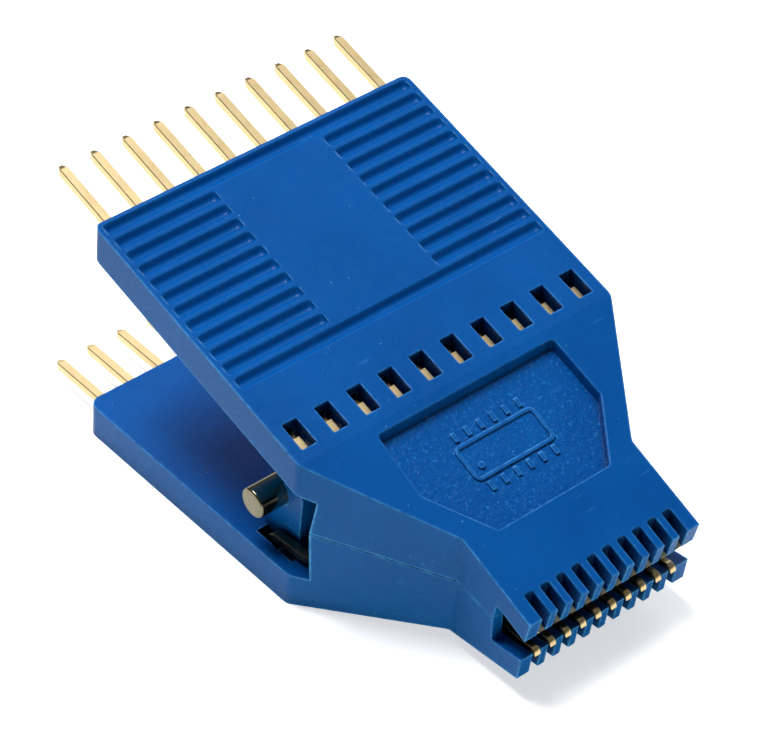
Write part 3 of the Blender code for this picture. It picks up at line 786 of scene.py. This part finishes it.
def plastic(name, textured=False):
    look = Look(name)
    soft = look.rounding(radius=0.09)
    open_air = look.openness(reach=2.6)
    edge = look.ramp(look.openness(reach=0.17, inside=True), low=0.88, high=0.52)
    cloud = look.noise(scale=0.16, detail=3.0)
    base = look.mix(look.ramp(cloud, low=0.3, high=0.7), PLASTIC_DEEP, PLASTIC_BODY)
    grain = look.noise(scale=2.4, detail=5.0, rough=0.65)
    base = look.mix(look.ramp(grain, low=0.60, high=0.80, to_high=0.30), base, PLASTIC_PALE)
    # fine pale specks and short scuffs
    cell = look.add("TexVoronoi", {"Vector": look.mm, "Scale": 1.15})["Distance"]
    pick = look.ramp(look.noise(scale=0.9, detail=1.0), low=0.54, high=0.60)
    speck = look.times(look.ramp(cell, low=0.085, high=0.045), pick)
    base = look.mix(look.times(speck, 0.55), base, PLASTIC_SPECK)
    line = look.noise(scale=3.0, detail=2.0, vector=look.stretch(0.10, 1.0, 1.0), distortion=0.4)
    scuff = look.times(look.ramp(line, low=0.66, high=0.72),
                       look.ramp(look.noise(scale=0.35, detail=2.0), low=0.52, high=0.66))
    base = look.mix(look.times(scuff, 0.30), base, PLASTIC_SCUFF)
    # painted shade: crevices found by occlusion are darkened towards a deep blue; corners get a
    # pale painted edge highlight below
    shade = look.ramp(open_air, low=0.15, high=0.71, to_low=1.0, to_high=0.0)
    base = look.mix(look.times(shade, 0.94), base, PLASTIC_CREVICE_SHADE)
    # painted edge highlight, partly wear: convex edges are paled in a mottled pattern
    worn_highlight = look.times(edge, look.ramp(look.noise(scale=1.9, detail=4.0, rough=0.6),
                                      low=0.32, high=0.64, to_low=0.22))
    base = look.mix(look.times(worn_highlight, 0.82), base, PLASTIC_WORN_HIGHLIGHT)
    if textured:
        # painted highlights: random spots of the panel grain are paled as if catching light
        glint_noise = look.noise(scale=4.6, detail=3.0, rough=0.6, distortion=0.3)
        painted_glint = look.times(look.ramp(glint_noise, low=0.58, high=0.70), 0.55)
        base = look.mix(painted_glint, base, PLASTIC_PAINTED_GLINT)
    rough = look.ramp(look.noise(scale=1.1, detail=4.0), low=0.3, high=0.7,
                      to_low=0.24, to_high=0.32)
    rough = look.math("ADD", rough, look.times(scuff, 0.12))
    if textured:
        pits = look.noise(scale=3.1, detail=3.0, rough=0.58, distortion=0.35)
        normal = look.bump(pits, distance=0.052, normal=soft)
        streak = look.noise(scale=2.6, detail=3.0, rough=0.6,
                            vector=look.stretch(1.0, 0.40, 0.40), distortion=0.7)
        normal = look.bump(look.ramp(streak, low=0.50, high=0.66), distance=0.010, normal=normal)
    else:
        normal = look.bump(look.noise(scale=0.55, detail=2.0), distance=0.010, normal=soft)
        normal = look.bump(grain, distance=0.006, normal=normal)
    fine = look.noise(scale=9.0, detail=3.0, rough=0.6)
    normal = look.bump(fine, distance=0.0025, normal=normal)
    normal = look.bump(speck, distance=0.012, normal=normal)
    look.surface({"Base Color": base, "Roughness": rough, "IOR": 1.27, "Normal": normal,
                  "Specular IOR Level": 0.36 if textured else 0.28})
    return look.mat


def metal(name, low, high, wear, rough, lines=(1.0, 0.06, 0.06), shade_run=None):
    """lines stretches the drawing marks; the last argument is (start, tip, edges) along frame y:
    painted shade darkens the run from start to near the tip, and when edges is set the run's
    corners keep a painted highlight.
    """
    look = Look(name)
    patch = look.noise(scale=0.8, detail=4.0, rough=0.6)
    base = look.mix(look.ramp(patch, low=0.3, high=0.7), low, high)
    spots = look.ramp(look.noise(scale=3.1, detail=3.0), low=0.60, high=0.74)
    base = look.mix(look.times(spots, 0.35), base, wear)
    # painted shade: occluded parts are darkened towards a dark brown
    shade = look.ramp(look.openness(reach=2.0), low=0.14, high=0.52, to_low=0.92, to_high=0.0)
    if shade_run is not None:
        # painted shade: the run inside the body is painted dark, and near the tip the painted
        # occlusion shade is taken off so the tip stays bright
        start, tip, lit_edges = shade_run
        along = look.add("SeparateXYZ", {0: look.mm})["Y"]
        shade = look.times(shade, look.ramp(along, low=tip + 0.7, high=tip + 1.5))
        run = look.times(look.ramp(along, low=tip + 0.35, high=tip + 0.75),
                         look.ramp(along, low=start, high=start - 1.0))
        # painted highlight: if asked, the corners of the dark run stay bright gold
        if lit_edges:
            corners = look.openness(reach=0.10, inside=True)
            run = look.times(run, look.ramp(corners, low=0.50, high=0.88, to_low=0.25))
        shade = look.math("MAXIMUM", shade, look.times(run, 0.89))
    base = look.mix(shade, base, METAL_SHADE)
    roughness = look.ramp(look.noise(scale=0.7, detail=2.0), low=0.3, high=0.7,
                          to_low=rough[0], to_high=rough[1])
    drawn = look.noise(scale=7.0, detail=2.0, vector=look.stretch(*lines))
    normal = look.bump(drawn, distance=0.0004)
    normal = look.bump(look.noise(scale=1.6, detail=2.0), distance=0.0010, normal=normal)
    look.surface({"Base Color": base, "Metallic": 1.0, "Roughness": roughness,
                  "Normal": normal})
    return look.mat


def station(n):
    """Clip length n to the frame's y, in millimetres."""
    return (CLIP @ Vector((0.0, -n, 0.0))).y * 1000.0


def gold(name, shade_from_n, lit_edges):
    """Contact gold with painted shade from the given n forwards nearly to the tip."""
    tip = station(contact_profile(1)[-1][0])
    return metal(name, low=rgb(0.98, 0.73, 0.37), high=rgb(1.0, 0.81, 0.45),
                 wear=rgb(0.86, 0.57, 0.26), rough=(0.27, 0.30),
                 shade_run=(station(shade_from_n), tip, lit_edges))


plastics = {word: (plastic(word + "_plastic_look"), plastic(word + "_panel_look", textured=True))
            for word in ("upper", "lower")}
# painted shade on the contacts' runs; the lower contacts also keep painted bright edges
golds = {"upper": gold("upper_gold_look", shade_from_n=22.5, lit_edges=False),
         "lower": gold("lower_gold_look", shade_from_n=16.4, lit_edges=True)}
steel = metal("dowel_steel_look", low=rgb(0.255, 0.232, 0.150), high=rgb(0.325, 0.295, 0.205),
              wear=rgb(0.40, 0.37, 0.33), rough=(0.18, 0.22), lines=(0.05, 1.0, 1.0))
wire = metal("spring_wire_look", low=rgb(0.34, 0.33, 0.31), high=rgb(0.50, 0.49, 0.46),
             wear=rgb(0.22, 0.18, 0.14), rough=(0.26, 0.40), lines=(1.0, 0.3, 0.3))


def dress(obj, mats):
    obj.data.materials.clear()
    for mat in mats:
        obj.data.materials.append(mat)


def mark_panel(shell, side):
    """Give the panel floor the second material."""
    def on_floor(p):
        return (abs(p.z * side - (outer(-p.y) - PANEL_DEPTH)) < 0.01
                and abs(p.x) < 7.6 and 22.0 < -p.y < 32)

    verts = shell.data.vertices
    for poly in shell.data.polygons:
        poly.material_index = int(all(on_floor(verts[i].co) for i in poly.vertices))


# -------------------------------------------------------------------- assembly
SIDES = ((-1, "lower"), (1, "upper"))

for side, word in SIDES:
    shell = build_half(word + "_shell", side)
    dress(shell, plastics[word])
    mark_panel(shell, side)
    finish_mesh(shell, angle=34.0)
    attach(shell, word + "_half")
    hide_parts(word + "_body")

for side, word in SIDES:
    for number, lane in enumerate(LANES, 1):
        contact = build_contact("%s_pin_%02d" % (word, number), lane, side)
        dress(contact, (golds[word],))
        finish_mesh(contact, angle=40.0)
        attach(contact, word + "_half")
        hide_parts("%s_contact_%02d" % (word, number))

dowel = build_dowel("dowel")
dress(dowel, (steel,))
finish_mesh(dowel, angle=40.0)
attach(dowel, "lower_half")
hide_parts("hinge_dowel")

spring = build_spring("spring")
dress(spring, (wire,))
finish_mesh(spring, angle=60.0)
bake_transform(spring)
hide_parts("torsion_spring")


# ----------------------------------------------------------------------- stage
def floor_look():
    """A lit sweep that also glows: seen directly it is lifted towards white, and for diffuse rays
    its glow is a painted fill light on the clip's sides.
    """
    look = Look("floor_look")
    rays = look.add("LightPath")
    paper = look.mix(look.noise(scale=0.05, detail=3.0), rgb(0.84, 0.84, 0.84),
                     rgb(0.88, 0.88, 0.87))
    # in reflections the floor is painted a slightly darker, warmer grey
    paper = look.mix(rays["Is Glossy Ray"], paper, rgb(0.80, 0.80, 0.76))
    normal = look.bump(look.noise(scale=3.0, detail=3.0), distance=0.004)
    # the glow is white for the camera and yellow-green for diffuse rays, where it is a painted
    # fill light
    glow = look.mix(rays["Is Diffuse Ray"], rgb(1, 1, 1), rgb(0.80, 1.0, 0.64))
    lift = look.times(rays["Is Camera Ray"], 0.62)
    lift = look.math("ADD", lift, look.times(rays["Is Diffuse Ray"], 1.15))
    look.surface({"Base Color": paper, "Roughness": 0.9, "Specular IOR Level": 0.1,
                  "Normal": normal, "Emission Color": glow, "Emission Strength": lift})
    return look.mat


grid = bmesh.new()
bmesh.ops.create_grid(grid, x_segments=1, y_segments=1, size=1.5)
floor = link_mesh("floor", grid)
floor.location = (0, 0, cad_bounds[0].z - 0.00002)
floor.data.materials.append(floor_look())

# world: dims upwards for lighting, even where the camera sees it
world = bpy.data.worlds.new("studio")
bpy.context.scene.world = world
world.use_nodes = True
sky = Nodes(world.node_tree)
height = sky.add("SeparateXYZ", {0: sky.add("TexCoord")["Generated"]})["Z"]
level = sky.add("MapRange", {"Value": height, "From Min": 0.02, "From Max": 0.40,
                             "To Min": 0.18, "To Max": 0.08},
                interpolation_type="SMOOTHSTEP")["Result"]
seen = sky.add("LightPath")["Is Camera Ray"]
backdrop = sky.add("Mix", {"Factor": seen, 2: level, 3: 0.70})[0]
background = world.node_tree.nodes["Background"]
sky.put(background.inputs["Strength"], backdrop)
background.inputs["Color"].default_value = rgb(1.0, 1.0, 1.0)

# area lights aimed at the clip: name, offset from its centre (m), size (m), power (W)
LIGHTS = (
    ("key", (-0.03, 0.13, 0.44), (0.19, 0.24), 2.65),
    ("rim", (0.40, 0.22, 0.17), (0.12, 0.16), 0.7),
    ("sheen", (0.24, 0.06, 0.43), (0.30, 0.30), 0.09),
    ("back", (0.214, 0.266, 0.293), (0.20, 0.20), 0.13),
)
centre = (cad_bounds[0] + cad_bounds[1]) / 2
for name, offset, size, power in LIGHTS:
    light = bpy.data.lights.new(name, "AREA")
    light.shape = "RECTANGLE"
    light.size, light.size_y = size
    light.energy = power
    lamp = bpy.data.objects.new(name, light)
    bpy.context.scene.collection.objects.link(lamp)
    place = centre + Vector(offset)
    lamp.location = place
    lamp.rotation_mode = "QUATERNION"
    lamp.rotation_quaternion = (centre - place).to_track_quat("-Z", "Y")

# ---------------------------------------------------------------------- camera
# place (mm) and directions of the view, in the clip mesh's axes
EYE = Vector((-101.216, -119.898, 156.117))
VIEW_RIGHT = Vector((0.773142, -0.629145, 0.080177))
VIEW_UP = Vector((0.418816, 0.601381, 0.680393))
cam = bpy.data.objects.new("camera", bpy.data.cameras.new("camera"))
bpy.context.scene.collection.objects.link(cam)
cam.data.sensor_width = 36.0
cam.data.lens = 151.07179355
cam.data.clip_start, cam.data.clip_end = 0.01, 10.0
turn = SPIN.to_3x3()
right, up = turn @ VIEW_RIGHT, turn @ VIEW_UP
axes = Matrix((right, up, right.cross(up))).transposed().to_4x4()
cam.matrix_world = Matrix.Translation(CLIP @ EYE) @ axes
bpy.context.scene.camera = cam
bpy.context.scene.view_settings.view_transform = "Standard"
